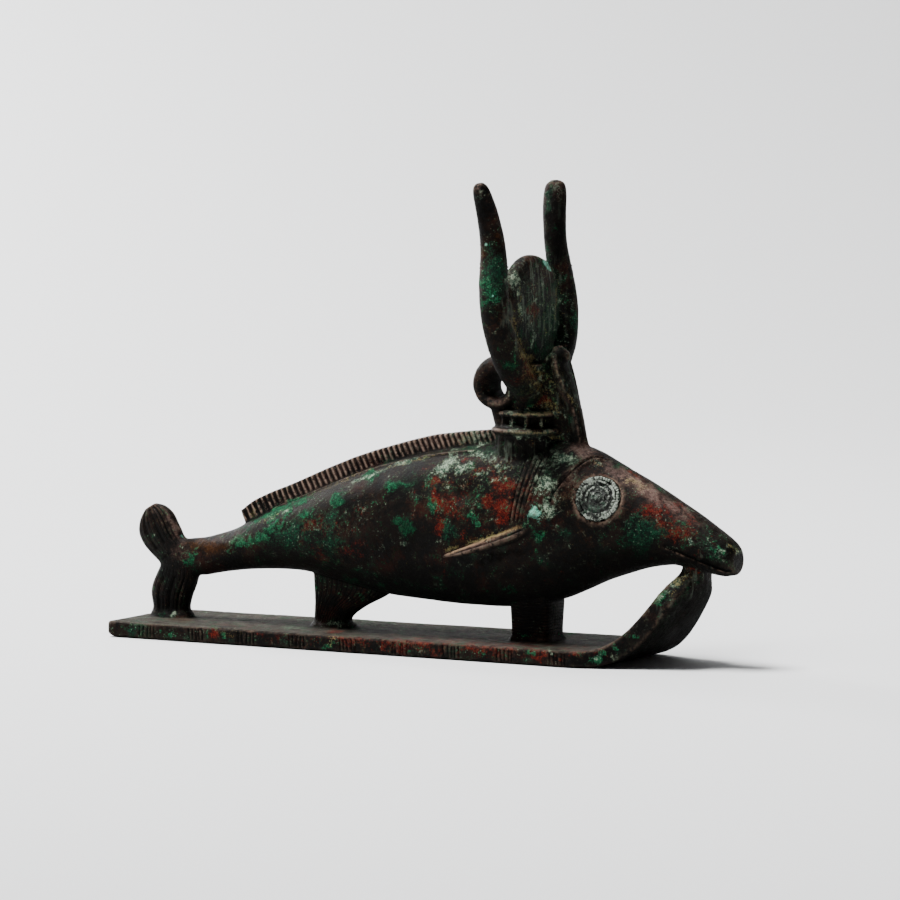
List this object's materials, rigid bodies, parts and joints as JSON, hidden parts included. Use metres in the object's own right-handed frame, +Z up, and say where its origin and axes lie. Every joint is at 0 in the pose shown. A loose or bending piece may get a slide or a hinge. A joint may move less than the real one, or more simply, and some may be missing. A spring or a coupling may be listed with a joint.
{
  "type": "bronze fish figure",
  "caption": "Cast bronze oxyrhynchus fish standing on a sledge with an upturned front, crowned with horns, a disc and a rearing cobra, with a hanging loop behind the crown.",
  "frame": {"origin": "centre of the bounding box, at its bottom, on the sledge's underside", "axes": "+X toward the fish's snout, along its length; +Y to the fish's left, across the sledge; +Z up, toward the tips of the horns"},
  "size_m": [0.139, 0.0347, 0.0951],
  "materials": {
    "bronze": "dark, corroded patina with green and red patches",
    "eye_inlay": "dull, silvery, corroded"
  },
  "bodies": {
    "root": {"fish_figure": "bronze", "eye_inlay_left": "eye_inlay", "eye_inlay_right": "eye_inlay"}
  },
  "joints": []
}
